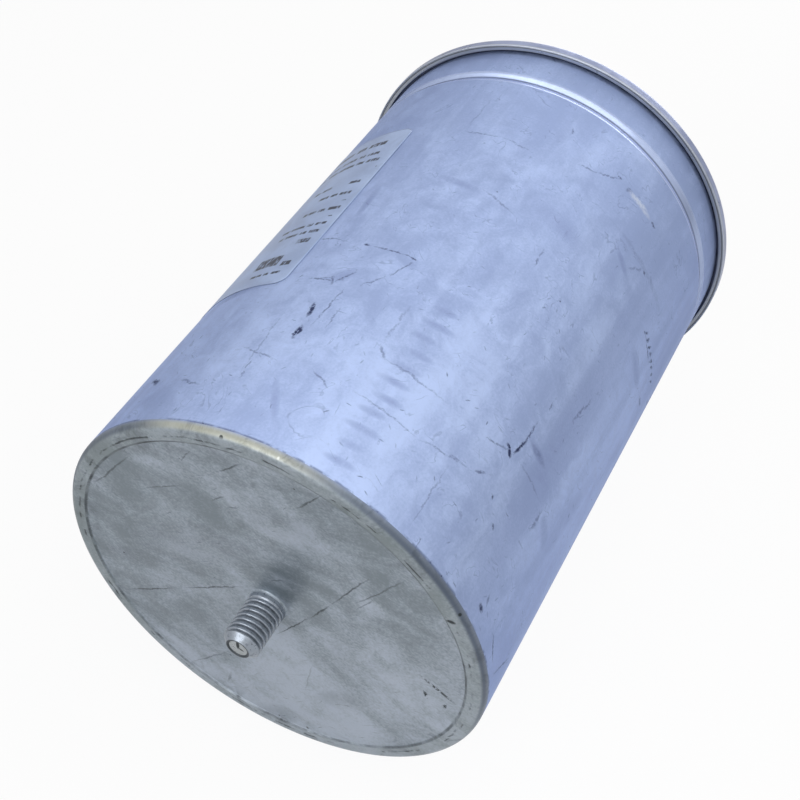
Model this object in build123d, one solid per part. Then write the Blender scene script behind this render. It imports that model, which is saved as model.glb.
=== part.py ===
"""Three-phase power factor correction capacitor in a sealed round aluminium can.

The can stands upright on its base ring. Its threaded stud points down, the terminal
block is on the lid. Origin: can axis at the seating plane. Lengths in millimetres.
"""
import os
from math import degrees, hypot

from build123d import *

# Can wall and base
can_diameter = 136.0
can_height = 202.0
base_corner_radius = 2.4
seat_ring_width = 2.9
seat_step_run = 0.5
base_recess = 0.5

# Mounting stud, in one piece with the base; the thread is drawn at its outer diameter
stud_diameter = 12.0
stud_length = 16.5
stud_tip_diameter = 7.4
stud_tip_height = 2.0
stud_root_flare = 0.7

# Expansion bead, a groove rolled into the wall below the seam
bead_drop = 19.8
bead_width = 5.6
bead_flank_depth = 1.1
bead_valley_radius = 1.2

# Rolled seam that holds the lid
seam_overhang = 3.0
seam_width = 4.5
seam_lip_drop = 3.8
seam_crown_chamfer = 1.3
seam_gap = 0.9
seam_gap_height = 1.8

# Lid inside the seam
lid_depth = 5.5
lid_corner_chamfer = 1.2
platform_height = 1.5
platform_step_run = 1.5
platform_margin = 4.0

# Film label wrapped on the wall
label_width = 96.0
label_height = 86.0
label_thickness = 0.1
label_glue = 0.05
label_corner_radius = 4.0
label_middle_share = 0.588
label_direction = -90.0

# Wire lugs, one for each phase
pole_count = 3
tunnel_diameter = 8.0
tunnel_floor = 3.0
lug_side_wall = 2.5
lug_clamp_wall = 9.0
lug_length = 16.0
lug_clearance = 0.2

# Clamp screws, headless with a hexagon socket
screw_diameter = 8.0
screw_length = 10.0
screw_clearance = 0.1
screw_tip_gap = 0.2
screw_socket_flats = 4.0
screw_socket_depth = 4.0

# Terminal block moulding
seal_thickness = 1.0
seal_margin = 1.5
barrier_thickness = 3.0
mouth_margin = 0.8
mouth_depth = 12.0
mouth_height = 14.0
block_floor = 5.0
block_headroom = 2.5
block_web = 3.5
block_corner_radius = 4.0

# Discharge resistor module in the back of the block
module_width = 44.0
module_depth = 8.0
module_height = 18.0
module_proud = 2.0
blade_width = 4.0
blade_thickness = 0.8
blade_clearance = 0.1
blade_height_share = 0.75

# Cover over the bays
cover_thickness = 3.0
cover_edge_chamfer = 1.0
skirt_thickness = 2.5
access_diameter = 9.0
rib_width = 2.0
rib_height = 1.5
rib_inset = 5.0
clip_width = 10.0
clip_height = 9.0
clip_thickness = 1.5

# One overrun for every cut
overrun = 5.0

# Radii and levels worked out from the sizes above
can_radius = can_diameter / 2
seam_radius = can_radius + seam_overhang
seam_inner_radius = seam_radius - seam_width
stud_radius = stud_diameter / 2
bead_z = can_height - bead_drop
lid_z = can_height - lid_depth
seal_z = lid_z + platform_height
block_z = seal_z + seal_thickness
bay_z = block_z + block_floor
tunnel_z = bay_z + tunnel_floor + tunnel_diameter / 2
lug_width = tunnel_diameter + 2 * lug_side_wall
lug_height = tunnel_floor + tunnel_diameter + lug_clamp_wall
block_top = bay_z + lug_height + block_headroom
block_height = block_top - block_z
blade_z = bay_z + blade_height_share * lug_height

# Plan of the terminal block: poles along X, wires enter from -Y
pocket_width = lug_width + 2 * lug_clearance
pocket_length = lug_length + lug_clearance
mouth_width = pocket_width + 2 * mouth_margin
pole_pitch = mouth_width + barrier_thickness
block_width = pole_count * pole_pitch + barrier_thickness
block_depth = mouth_depth + pocket_length + block_web + module_depth - module_proud
block_front = -block_depth / 2
pocket_front = block_front + mouth_depth
pocket_back = pocket_front + pocket_length
recess_front = pocket_back + block_web
lug_y = pocket_front + lug_length / 2
pole_xs = [(pole - (pole_count - 1) / 2) * pole_pitch for pole in range(pole_count)]
platform_radius = hypot(block_width, block_depth) / 2 + platform_margin


def can_section():
    """Half section of the closed can, from the stud's tip up the outside to the lid."""
    tip_z = -stud_length
    seat_inner = can_radius - base_corner_radius - seat_ring_width
    bead_low = bead_z - bead_width / 2
    bead_high = bead_z + bead_width / 2
    lip_inner = can_radius + seam_gap
    lip_z = can_height - seam_lip_drop
    gap_z = lip_z + seam_gap_height
    crown_z = can_height - seam_crown_chamfer

    with BuildLine() as section:
        # Stud: flat tip, cone, shank, flared root; base: recessed middle, step, seating ring
        Polyline(
            (0, seal_z),
            (0, tip_z),
            (stud_tip_diameter / 2, tip_z),
            (stud_radius, tip_z + stud_tip_height),
            (stud_radius, base_recess - stud_root_flare),
            (stud_radius + stud_root_flare, base_recess),
            (seat_inner - seat_step_run, base_recess),
            (seat_inner, 0),
            (can_radius - base_corner_radius, 0),
        )
        TangentArc(
            (can_radius - base_corner_radius, 0),
            (can_radius, base_corner_radius),
            tangent=(1, 0),
        )
        # Wall with the expansion bead: straight flanks that run into a round valley
        Line((can_radius, base_corner_radius), (can_radius, bead_low))
        FilletPolyline(
            (can_radius, bead_low),
            (can_radius - bead_flank_depth, bead_z),
            (can_radius, bead_high),
            radius=bead_valley_radius,
        )
        # Seam: gap behind the lip, outer band, crown; lid: inner wall, panel, raised platform
        Polyline(
            (can_radius, bead_high),
            (can_radius, gap_z),
            (lip_inner, gap_z),
            (lip_inner, lip_z),
            (seam_radius, lip_z),
            (seam_radius, crown_z),
            (seam_radius - seam_crown_chamfer, can_height),
            (seam_inner_radius + seam_crown_chamfer, can_height),
            (seam_inner_radius, crown_z),
            (seam_inner_radius, lid_z + lid_corner_chamfer),
            (seam_inner_radius - lid_corner_chamfer, lid_z),
            (platform_radius + platform_step_run, lid_z),
            (platform_radius, seal_z),
            (0, seal_z),
        )
    return section.line


def sealed_can():
    """The closed can with its stud: one solid of revolution."""
    with BuildPart() as can:
        with BuildSketch(Plane.XZ):
            add(can_section())
            make_face()
        revolve(axis=Axis.Z)
    return can.part


def label_film():
    """Thin film on the wall with rounded corners, centred on the label direction."""
    middle_z = label_middle_share * (bead_z - bead_width / 2)
    arc = degrees(label_width / can_radius)
    corner_arc = degrees(label_corner_radius / can_radius)
    with BuildPart() as film:
        with BuildSketch(Plane.XZ):
            with Locations((can_radius + label_glue, middle_z)):
                Rectangle(label_thickness, label_height, align=(Align.MIN, Align.CENTER))
        revolve(axis=Axis.Z, revolution_arc=arc)
        # Each corner loses the square outside its rounding, cut along the radius there
        for corner_angle, side in ((corner_arc, Align.MAX), (arc - corner_arc, Align.MIN)):
            outward = Axis.X.direction.rotate(Axis.Z, corner_angle)
            for level, end in ((-1, Align.MAX), (1, Align.MIN)):
                corner_z = middle_z + level * (label_height / 2 - label_corner_radius)
                corner_plane = Plane(
                    origin=outward * can_radius + Vector(0, 0, corner_z),
                    x_dir=outward.rotate(Axis.Z, 90),
                    z_dir=outward,
                )
                with BuildSketch(corner_plane):
                    reach = label_corner_radius + overrun
                    Rectangle(reach, reach, align=(side, end))
                    Circle(label_corner_radius, mode=Mode.SUBTRACT)
                extrude(amount=overrun, both=True, mode=Mode.SUBTRACT)
    return film.part.rotate(Axis.Z, label_direction - arc / 2)


def terminal_seal():
    """Flat rubber pad between the lid's platform and the terminal block."""
    with BuildPart() as seal:
        with BuildSketch(Plane.XY.offset(seal_z)):
            RectangleRounded(
                block_width + 2 * seal_margin,
                block_depth + 2 * seal_margin,
                block_corner_radius + seal_margin,
            )
        extrude(amount=seal_thickness)
    return seal.part


def terminal_block():
    """Moulded block: bays with lug pockets, a seat for the resistor module, clip seats."""
    clip_seat = block_width / 2 - clip_thickness
    with BuildPart() as block:
        with BuildSketch(Plane.XY.offset(block_z)):
            RectangleRounded(block_width, block_depth, block_corner_radius)
        extrude(amount=block_height)
        # Bays: a wide mouth in front, then the pocket that holds the lug
        with BuildSketch(Plane.XY.offset(bay_z)):
            with Locations(*[(x, pocket_front) for x in pole_xs]):
                Rectangle(mouth_width, mouth_depth + overrun, align=(Align.CENTER, Align.MAX))
                Rectangle(pocket_width, pocket_length, align=(Align.CENTER, Align.MIN))
        extrude(amount=block_height, mode=Mode.SUBTRACT)
        # Seat of the resistor module, open to the back and the top
        with BuildSketch(Plane.XY.offset(block_top - module_height)):
            with Locations((0, recess_front)):
                Rectangle(module_width, module_depth + overrun, align=(Align.CENTER, Align.MIN))
        extrude(amount=module_height + overrun, mode=Mode.SUBTRACT)
        # Seats of the cover's two side clips
        with BuildSketch(Plane.XY.offset(block_top - clip_height)):
            with Locations((clip_seat, 0)):
                Rectangle(clip_thickness + overrun, clip_width, align=(Align.MIN, Align.CENTER))
            with Locations((-clip_seat, 0)):
                Rectangle(clip_thickness + overrun, clip_width, align=(Align.MAX, Align.CENTER))
        extrude(amount=clip_height + overrun, mode=Mode.SUBTRACT)
        # Slots for the module's blades through the web
        with BuildSketch(Plane.XZ.offset(-recess_front)):
            with Locations(*[(x, blade_z) for x in pole_xs]):
                Rectangle(blade_width + 2 * blade_clearance, blade_thickness + 2 * blade_clearance)
        extrude(amount=block_web + lug_clearance, mode=Mode.SUBTRACT)
    return block.part


def terminal_lug(x):
    """Brass block with the wire tunnel along Y and the screw's hole from above."""
    with BuildPart() as lug:
        with Locations((x, lug_y, bay_z)):
            Box(
                lug_width,
                lug_length,
                lug_height,
                align=(Align.CENTER, Align.CENTER, Align.MIN),
            )
        with Locations((x, lug_y, tunnel_z)):
            Cylinder(
                tunnel_diameter / 2,
                lug_length + 2 * overrun,
                rotation=(90, 0, 0),
                mode=Mode.SUBTRACT,
            )
            Cylinder(
                screw_diameter / 2 + screw_clearance,
                lug_height,
                align=(Align.CENTER, Align.CENTER, Align.MIN),
                mode=Mode.SUBTRACT,
            )
    return lug.part


def clamp_screws():
    """Headless screws, backed out so that the wire tunnels are free."""
    tip_z = tunnel_z + tunnel_diameter / 2 + screw_tip_gap
    socket_z = tip_z + screw_length - screw_socket_depth
    with BuildPart() as screws:
        with Locations(*[(x, lug_y, tip_z) for x in pole_xs]):
            Cylinder(
                screw_diameter / 2,
                screw_length,
                align=(Align.CENTER, Align.CENTER, Align.MIN),
            )
        with BuildSketch(Plane.XY.offset(socket_z)):
            with Locations(*[(x, lug_y) for x in pole_xs]):
                RegularPolygon(screw_socket_flats / 2, 6, major_radius=False)
        extrude(amount=screw_socket_depth + overrun, mode=Mode.SUBTRACT)
    return screws.part


def discharge_module():
    """Ceramic box with the discharge resistors, seated in the back of the block."""
    with BuildPart() as module:
        with BuildSketch(Plane.XY.offset(block_top - module_height)):
            with Locations((0, recess_front)):
                Rectangle(module_width, module_depth, align=(Align.CENTER, Align.MIN))
        extrude(amount=module_height)
    return module.part


def discharge_blades():
    """Contact blades from the module through the web to the back of each lug."""
    with BuildPart() as blades:
        with BuildSketch(Plane.XZ.offset(-recess_front)):
            with Locations(*[(x, blade_z) for x in pole_xs]):
                Rectangle(blade_width, blade_thickness)
        extrude(amount=block_web + lug_clearance)
    return blades.part


def terminal_cover():
    """Finger-safe cover: plate with screwdriver holes, front skirt, ribs and side clips."""
    cover_depth = block_depth + skirt_thickness
    skirt_height = block_top - bay_z - mouth_height
    with BuildPart() as cover:
        with BuildSketch(Plane.XY.offset(block_top)) as plan:
            with Locations((0, -skirt_thickness / 2)):
                RectangleRounded(block_width, cover_depth, block_corner_radius)
        extrude(amount=cover_thickness)
        chamfer(cover.faces().sort_by(Axis.Z)[-1].edges(), cover_edge_chamfer)
        # Skirt in front of the bays, down to the top of the wire mouths
        with BuildSketch(Plane.XY.offset(block_top)):
            add(plan.sketch.faces())
            with Locations((0, block_front)):
                Rectangle(
                    block_width + overrun,
                    block_depth + overrun,
                    align=(Align.CENTER, Align.MIN),
                    mode=Mode.SUBTRACT,
                )
        extrude(amount=-skirt_height)
        # Ribs between the poles
        with BuildSketch(Plane.XY.offset(block_top + cover_thickness)):
            with Locations(*[(x + pole_pitch / 2, 0) for x in pole_xs[:-1]]):
                Rectangle(rib_width, block_depth - 2 * rib_inset)
        extrude(amount=rib_height)
        # Clips down the sides of the block
        with BuildSketch(Plane.XY.offset(block_top)):
            with Locations((block_width / 2, 0)):
                Rectangle(clip_thickness, clip_width, align=(Align.MAX, Align.CENTER))
            with Locations((-block_width / 2, 0)):
                Rectangle(clip_thickness, clip_width, align=(Align.MIN, Align.CENTER))
        extrude(amount=-clip_height)
        # Screwdriver holes
        with BuildSketch(Plane.XY.offset(block_top)):
            with Locations(*[(x, lug_y) for x in pole_xs]):
                Circle(access_diameter / 2)
        extrude(amount=cover_thickness + overrun, mode=Mode.SUBTRACT)
    return cover.part


nodes = {
    "sealed_can": sealed_can(),
    "label_film": label_film(),
    "terminal_seal": terminal_seal(),
    "terminal_block": terminal_block(),
    "terminal_cover": terminal_cover(),
    "clamp_screws": clamp_screws(),
    "discharge_module": discharge_module(),
    "discharge_blades": discharge_blades(),
}
for number, x in enumerate(pole_xs, start=1):
    nodes[f"terminal_lug_{number}"] = terminal_lug(x)

os.makedirs("parts", exist_ok=True)
for name, shape in nodes.items():
    export_step(shape, f"parts/{name}.step")
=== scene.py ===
"""Looks of the power factor correction capacitor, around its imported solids. Lengths in metres."""
import math

import bmesh
import bpy
import numpy as np
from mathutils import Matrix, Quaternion, Vector


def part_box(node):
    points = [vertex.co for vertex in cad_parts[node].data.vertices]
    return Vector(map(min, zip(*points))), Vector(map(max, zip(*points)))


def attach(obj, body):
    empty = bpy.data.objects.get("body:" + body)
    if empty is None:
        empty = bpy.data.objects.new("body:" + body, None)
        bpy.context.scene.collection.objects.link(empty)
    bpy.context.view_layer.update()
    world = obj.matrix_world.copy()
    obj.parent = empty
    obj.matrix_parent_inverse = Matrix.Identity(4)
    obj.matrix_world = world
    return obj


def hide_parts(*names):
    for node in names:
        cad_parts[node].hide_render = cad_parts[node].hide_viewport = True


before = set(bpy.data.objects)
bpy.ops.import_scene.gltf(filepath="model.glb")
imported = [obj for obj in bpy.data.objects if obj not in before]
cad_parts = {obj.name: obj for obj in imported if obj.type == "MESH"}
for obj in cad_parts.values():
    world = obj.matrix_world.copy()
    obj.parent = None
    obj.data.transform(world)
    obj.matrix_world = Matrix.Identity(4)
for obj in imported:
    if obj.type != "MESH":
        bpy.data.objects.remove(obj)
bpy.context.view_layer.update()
scene = bpy.context.scene

MM = 0.001

# Can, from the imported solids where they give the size
SEAM_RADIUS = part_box("sealed_can")[1].x
CAN_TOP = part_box("sealed_can")[1].z
STUD_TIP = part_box("sealed_can")[0].z
LID_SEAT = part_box("terminal_seal")[0].z
CAN_RADIUS = SEAM_RADIUS - 3.0 * MM
BASE_CORNER = 2.4 * MM
SEAT_WIDTH = 2.9 * MM
SEAT_INNER = CAN_RADIUS - BASE_CORNER - SEAT_WIDTH
BASE_RECESS = 0.5 * MM

# Stud thread, right-handed, with crest and flank as shares of half a pitch
STUD_RADIUS = 5.85 * MM
PITCH = 1.75 * MM
THREAD_DEPTH = 0.92 * MM
CREST_SHARE = 0.36
FLANK_SHARE = 0.5
PLAIN_ROOT = 1.3 * MM
FULL_THREAD = 2.6 * MM
TIP_RADIUS = 3.7 * MM
TIP_HEIGHT = 2.0 * MM
FACE_RADIUS = 3.2 * MM
FACE_DISH = 0.3 * MM

# Expansion bead, rolled seam and lid
BEAD_MIDDLE = CAN_TOP - 19.8 * MM
BEAD_HALF = 2.6 * MM
BEAD_DEPTH = 1.0 * MM
BEAD_CREASE = 0.12
BEAD_SHOULDER = 0.34
LIP_BOTTOM = CAN_TOP - 4.3 * MM
LIP_GAP = 0.9 * MM
LIP_EDGE = 0.24 * MM
GAP_TOP = LIP_BOTTOM + 1.8 * MM
SEAM_INNER = SEAM_RADIUS - 4.5 * MM
SEAM_CROWN = 1.5 * MM
LID_PANEL = LID_SEAT - 1.5 * MM
PLATFORM_RADIUS = 38.2 * MM

# Label film on the wall
LABEL_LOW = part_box("label_film")[0].z
LABEL_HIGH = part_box("label_film")[1].z
LABEL_RADIUS = CAN_RADIUS + 0.15 * MM
LABEL_WIDTH = 96.0 * MM
LABEL_CORNER = 4.0 * MM
LABEL_TURN = math.radians(-90)
LABEL_THICKNESS = 0.1 * MM

# Camera, as the photograph was taken
CAMERA_PLACE = Vector((0.35097, -0.01744, -0.18817))
CAMERA_AIM = Vector((-0.00012, -0.00296, 0.08877))
CAMERA_ROLL = math.radians(35.19)
CAMERA_LENS = 61.82
CAMERA_SENSOR = 36.0
CAMERA_NEAR = 0.01

# Stage: a pale floor on the side that the can lies on, and the world's light
FLOOR_TURN = math.radians(-26)
FLOOR_UP = Vector((math.cos(FLOOR_TURN), math.sin(FLOOR_TURN), 0))
FLOOR_SIZE = 3.0
FLOOR_GAP = 0.5 * MM
SKY_LOW = 0.40
SKY_FILL = 0.27
DARK_SIDE = (0.09, 0.99, -0.10)
DARK_SHARE = 0.35

# Lamps: name, turn in degrees, reach, rise, width, height, power, and the light that it shows in
CAN_MIDDLE = Vector((0, 0, CAN_TOP / 2))
LAMPS = [
    ("key", 4, 0.90, -0.10, 1.2, 1.2, 6.9, "matt"),
    ("strip", -36, 0.90, 0.30, 2.0, 0.14, 2.4, "gloss"),
    ("back", 164, 0.90, 0.10, 0.7, 0.7, 3.6, "all"),
    ("lid", -26, 0.08, 0.95, 0.6, 0.6, 3.2, "all"),
    ("base", -50, 0.45, -0.80, 0.5, 0.5, 2.4, "all"),
]

# Grids of the can and the label, and the ring around the can's poles
COLUMNS = 300
FACE_ROWS = 6
RIM_ROWS = 3
POLE_RADIUS = 0.4 * MM
LABEL_GRID = 121
LABEL_CORNER_ROWS = 24

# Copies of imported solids: points within the distance are merged, faces within the flat angle are
# joined, and edges past the sharp angle are rounded
MERGE_DISTANCE = 0.001 * MM
FLAT_ANGLE = math.radians(1)
SHARP_ANGLE = math.radians(35)


def run(start, end, count):
    """Straight stretch of a half section: evenly spaced points, the end left out."""
    share = np.linspace(0, 1, count, endpoint=False)[:, None]
    return np.array(start) + share * (np.array(end) - np.array(start))


def bend(middle, radius, first, last, count):
    """Round stretch of a half section: points of a circle between two angles, the end left out."""
    angle = np.radians(np.linspace(first, last, count, endpoint=False))
    return np.array(middle) + radius * np.stack([np.cos(angle), np.sin(angle)], axis=1)


def smooth(value, low, high):
    """0 below low, 1 above high, and the cubic 3t^2 - 2t^3 between them."""
    t = np.clip((value - low) / (high - low), 0, 1)
    return t * t * (3 - 2 * t)


def stud_section():
    """Rows of the stud: dished end face, its rim, the tip's cone, and the shank at full radius."""
    face = STUD_TIP + FACE_DISH
    rim = FACE_RADIUS + 0.15 * MM
    return np.concatenate([
        run((POLE_RADIUS, face), (FACE_RADIUS, face), FACE_ROWS),
        run((FACE_RADIUS, face), (rim, STUD_TIP), RIM_ROWS),
        run((rim, STUD_TIP), (TIP_RADIUS, STUD_TIP), RIM_ROWS),
        run((TIP_RADIUS, STUD_TIP), (STUD_RADIUS, STUD_TIP + TIP_HEIGHT), 14),
        run((STUD_RADIUS, STUD_TIP + TIP_HEIGHT), (STUD_RADIUS, 0.1 * MM), 96),
    ])


def base_section():
    """Rows of the base: flared root, recessed middle, step, seating ring and rounded corner."""
    flare = 0.7 * MM
    step = 0.25 * MM
    recess_edge = SEAT_INNER - 1.0 * MM
    return np.concatenate([
        bend((STUD_RADIUS + flare, BASE_RECESS - flare), flare, 180, 90, 6),
        run((STUD_RADIUS + flare, BASE_RECESS), (recess_edge, BASE_RECESS), 10),
        bend((recess_edge, BASE_RECESS - step), step, 90, 20, 5),
        bend((SEAT_INNER, step), step, 200, 270, 5),
        run((SEAT_INNER, 0), (CAN_RADIUS - BASE_CORNER, 0), 4),
        bend((CAN_RADIUS - BASE_CORNER, BASE_CORNER), BASE_CORNER, -90, 0, 10),
    ])


def wall_section():
    """Rows of the wall. The bead's dip is a hyperbola, 1 - sqrt(t^2 + crease^2) with t the share of its
    half width, that runs into the wall by a parabola at each shoulder."""
    share = np.linspace(-1 - BEAD_SHOULDER, 1 + BEAD_SHOULDER, 36, endpoint=False)
    dip = 1 - np.sqrt(share ** 2 + BEAD_CREASE ** 2)
    soft = np.clip(dip + BEAD_SHOULDER, 0, None) ** 2 / (4 * BEAD_SHOULDER)
    dip = np.where(dip > BEAD_SHOULDER, dip, soft)
    level = BEAD_MIDDLE + BEAD_HALF * share
    return np.concatenate([
        run((CAN_RADIUS, BASE_CORNER), (CAN_RADIUS, level[0]), 30),
        np.stack([CAN_RADIUS - BEAD_DEPTH * dip, level], axis=1),
        run((CAN_RADIUS, 2 * BEAD_MIDDLE - level[0]), (CAN_RADIUS, GAP_TOP - LIP_GAP / 2), 6),
    ])


def seam_section():
    """Rows of the rolled seam: round gap behind the lip, flat lip with a fold line, band and crown."""
    lip_inner = CAN_RADIUS + LIP_GAP
    lip_edge = SEAM_RADIUS - LIP_EDGE
    fold = 0.2 * MM
    return np.concatenate([
        bend((CAN_RADIUS + LIP_GAP / 2, GAP_TOP - LIP_GAP / 2), LIP_GAP / 2, 180, 0, 8),
        run((lip_inner, GAP_TOP - LIP_GAP / 2), (lip_inner, LIP_BOTTOM + 2 * fold), 2),
        bend((lip_inner + fold, LIP_BOTTOM + 2 * fold), fold, 180, 270, 4),
        run((lip_inner + fold, LIP_BOTTOM + fold), (lip_edge - 2 * fold, LIP_BOTTOM + fold), 3),
        run((lip_edge - 2 * fold, LIP_BOTTOM + fold), (lip_edge - fold, LIP_BOTTOM + 2 * fold), 2),
        run((lip_edge - fold, LIP_BOTTOM + 2 * fold), (lip_edge, LIP_BOTTOM), 2),
        bend((lip_edge, LIP_BOTTOM + LIP_EDGE), LIP_EDGE, 270, 360, 7),
        run((SEAM_RADIUS, LIP_BOTTOM + LIP_EDGE), (SEAM_RADIUS, CAN_TOP - SEAM_CROWN), 4),
        bend((SEAM_RADIUS - SEAM_CROWN, CAN_TOP - SEAM_CROWN), SEAM_CROWN, 0, 90, 8),
        run((SEAM_RADIUS - SEAM_CROWN, CAN_TOP), (SEAM_INNER + SEAM_CROWN, CAN_TOP), 2),
        bend((SEAM_INNER + SEAM_CROWN, CAN_TOP - SEAM_CROWN), SEAM_CROWN, 90, 180, 8),
    ])


def lid_section():
    """Rows of the lid: inner wall of the seam, rounded foot, panel and raised platform."""
    foot = 1.2 * MM
    step = 1.5 * MM
    return np.concatenate([
        run((SEAM_INNER, CAN_TOP - SEAM_CROWN), (SEAM_INNER, LID_PANEL + foot), 3),
        bend((SEAM_INNER - foot, LID_PANEL + foot), foot, 0, -90, 6),
        run((SEAM_INNER - foot, LID_PANEL), (PLATFORM_RADIUS + step, LID_PANEL), 8),
        run((PLATFORM_RADIUS + step, LID_PANEL), (PLATFORM_RADIUS, LID_SEAT), 3),
        run((PLATFORM_RADIUS, LID_SEAT), (POLE_RADIUS, LID_SEAT), 3),
    ])


def thread_radius(turn, level):
    """Trapezoid wave with part-cosine flanks across each pitch along a right-hand helix, faded out at
    the plain root, and never outside the tip's cone."""
    across = np.abs(2 * ((level / PITCH - turn) % 1.0) - 1)
    flank = np.clip((across - CREST_SHARE) / FLANK_SHARE, 0, 1)
    groove = 0.6 * flank + 0.4 * (0.5 - 0.5 * np.cos(np.pi * flank))
    fade = smooth(-level, PLAIN_ROOT, FULL_THREAD)
    cone = TIP_RADIUS + (level - STUD_TIP) * (STUD_RADIUS - TIP_RADIUS) / TIP_HEIGHT
    return np.minimum(STUD_RADIUS - THREAD_DEPTH * groove * fade, cone)


def linked(name, mesh):
    """Object of a mesh that holds its own place, smooth-shaded and linked to the scene."""
    mesh.shade_smooth()
    piece = bpy.data.objects.new(name, mesh)
    scene.collection.objects.link(piece)
    return piece


def new_piece(name, points, faces):
    """Object of worked-out points and the faces between them."""
    mesh = bpy.data.meshes.new(name)
    mesh.from_pydata(points.tolist(), [], faces)
    return linked(name, mesh)


def grid_faces(rows, columns, closed):
    """Quads between the rows of a grid of points; a closed grid joins its last column to its first."""
    row, column = np.meshgrid(np.arange(rows - 1), np.arange(columns - (not closed)), indexing="ij")
    after = (column + 1) % columns
    corners = [row * columns + column, row * columns + after,
               (row + 1) * columns + after, (row + 1) * columns + column]
    return np.stack(corners, axis=2).reshape(-1, 4)


def can_skin():
    """The closed can as one turned surface: radius and height per row, angle per column, two poles.
    Each section has its own finish."""
    parts = [stud_section(), base_section(), wall_section(), seam_section(), lid_section()]
    section = np.concatenate(parts)
    rows = len(section)
    turn = np.linspace(0, 1, COLUMNS, endpoint=False)[None, :]
    radius = np.repeat(section[:, :1], COLUMNS, axis=1)
    level = np.repeat(section[:, 1:], COLUMNS, axis=1)
    threaded = slice(FACE_ROWS + 2 * RIM_ROWS, len(parts[0]))
    radius[threaded] = thread_radius(turn, level[threaded])
    angle = 2 * np.pi * turn
    rings = np.stack([radius * np.cos(angle), radius * np.sin(angle), level], axis=2)
    points = np.concatenate([rings.reshape(-1, 3), [(0, 0, section[0, 1]), (0, 0, section[-1, 1])]])
    first = np.arange(COLUMNS)
    second = (first + 1) % COLUMNS
    top = (rows - 1) * COLUMNS
    low_pole = np.stack([np.full(COLUMNS, rows * COLUMNS), second, first], axis=1)
    high_pole = np.stack([np.full(COLUMNS, rows * COLUMNS + 1), top + first, top + second], axis=1)
    faces = grid_faces(rows, COLUMNS, True).tolist() + low_pole.tolist() + high_pole.tolist()
    piece = new_piece("can_skin", points, faces)
    ends = np.cumsum([len(part) for part in parts])
    region = np.searchsorted(ends[:-1], np.arange(rows - 1), side="right")
    poles = np.repeat([0, len(parts) - 1], COLUMNS)
    finish = np.concatenate([np.repeat(region, COLUMNS), poles])
    piece.data.polygons.foreach_set("material_index", finish.astype(np.int32))
    return piece


def label_sheet():
    """Rectangle with round corners wrapped on the wall: each row's half width falls off as a quarter
    circle within a corner radius of the top and bottom edges."""
    height = LABEL_HIGH - LABEL_LOW
    rounded = np.linspace(0, 1, LABEL_CORNER_ROWS, endpoint=False) ** 2 * LABEL_CORNER
    straight = np.linspace(LABEL_CORNER, height - LABEL_CORNER, LABEL_GRID - 2 * LABEL_CORNER_ROWS)
    edge = np.concatenate([rounded, straight, height - rounded[::-1]])
    inset = np.clip(LABEL_CORNER - np.minimum(edge, height - edge), 0, LABEL_CORNER)
    half = LABEL_WIDTH / 2 - LABEL_CORNER + np.sqrt(LABEL_CORNER ** 2 - inset ** 2)
    arc = half[:, None] * np.linspace(-1, 1, LABEL_GRID)[None, :]
    angle = LABEL_TURN + arc / CAN_RADIUS
    level = np.repeat((LABEL_LOW + edge)[:, None], LABEL_GRID, axis=1)
    points = np.stack([LABEL_RADIUS * np.cos(angle), LABEL_RADIUS * np.sin(angle), level], axis=2)
    faces = grid_faces(LABEL_GRID, LABEL_GRID, False)
    piece = new_piece("label_sheet", points.reshape(-1, 3), faces.tolist())
    wall = piece.modifiers.new("thickness", "SOLIDIFY")
    wall.thickness = LABEL_THICKNESS
    wall.offset = -1
    return piece


def eased_copy(node, name, width):
    """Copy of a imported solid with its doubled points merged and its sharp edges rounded."""
    shape = bmesh.new()
    shape.from_mesh(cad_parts[node].data)
    bmesh.ops.remove_doubles(shape, verts=shape.verts, dist=MERGE_DISTANCE)
    bmesh.ops.dissolve_limit(shape, angle_limit=FLAT_ANGLE, verts=shape.verts, edges=shape.edges)
    mesh = bpy.data.meshes.new(name)
    shape.to_mesh(mesh)
    shape.free()
    piece = linked(name, mesh)
    rounding = piece.modifiers.new("rounding", "BEVEL")
    rounding.width = width
    rounding.segments = 2
    rounding.limit_method = "ANGLE"
    rounding.angle_limit = SHARP_ANGLE
    rounding.harden_normals = True
    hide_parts(node)
    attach(piece, "root")
    return piece


class Value:
    """A shader socket in an expression: each operator adds a Math node to the socket's own tree."""

    def __init__(self, socket):
        self.socket = socket

    def __add__(self, other):
        return math_node("ADD", self, other)

    def __sub__(self, other):
        return math_node("SUBTRACT", self, other)

    def __rsub__(self, other):
        return math_node("SUBTRACT", other, self)

    def __mul__(self, other):
        return math_node("MULTIPLY", self, other)

    def __truediv__(self, other):
        return math_node("DIVIDE", self, other)

    def __abs__(self):
        return math_node("ABSOLUTE", self)

    __radd__ = __add__
    __rmul__ = __mul__


def feed(socket, item):
    """Links a wrapped socket to a socket, or sets the socket's own value."""
    if isinstance(item, Value):
        socket.id_data.links.new(item.socket, socket)
    else:
        socket.default_value = item


def math_node(operation, *items):
    """One Math node on values and numbers, in the tree of the first wrapped socket."""
    tree = next(item for item in items if isinstance(item, Value)).socket.id_data
    node = tree.nodes.new("ShaderNodeMath")
    node.operation = operation
    for socket, item in zip(node.inputs, items):
        feed(socket, item)
    return Value(node.outputs[0])


def clamped(value):
    """A value kept between 0 and 1."""
    return math_node("MAXIMUM", math_node("MINIMUM", value, 1.0), 0.0)


def shade(red, green, blue):
    """A colour given in screen values from 0 to 255, as the linear colour that a socket takes."""
    screen = np.array([red, green, blue]) / 255
    linear = np.where(screen < 0.04045, screen / 12.92, ((screen + 0.055) / 1.055) ** 2.4)
    return (*linear.tolist(), 1.0)


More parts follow.
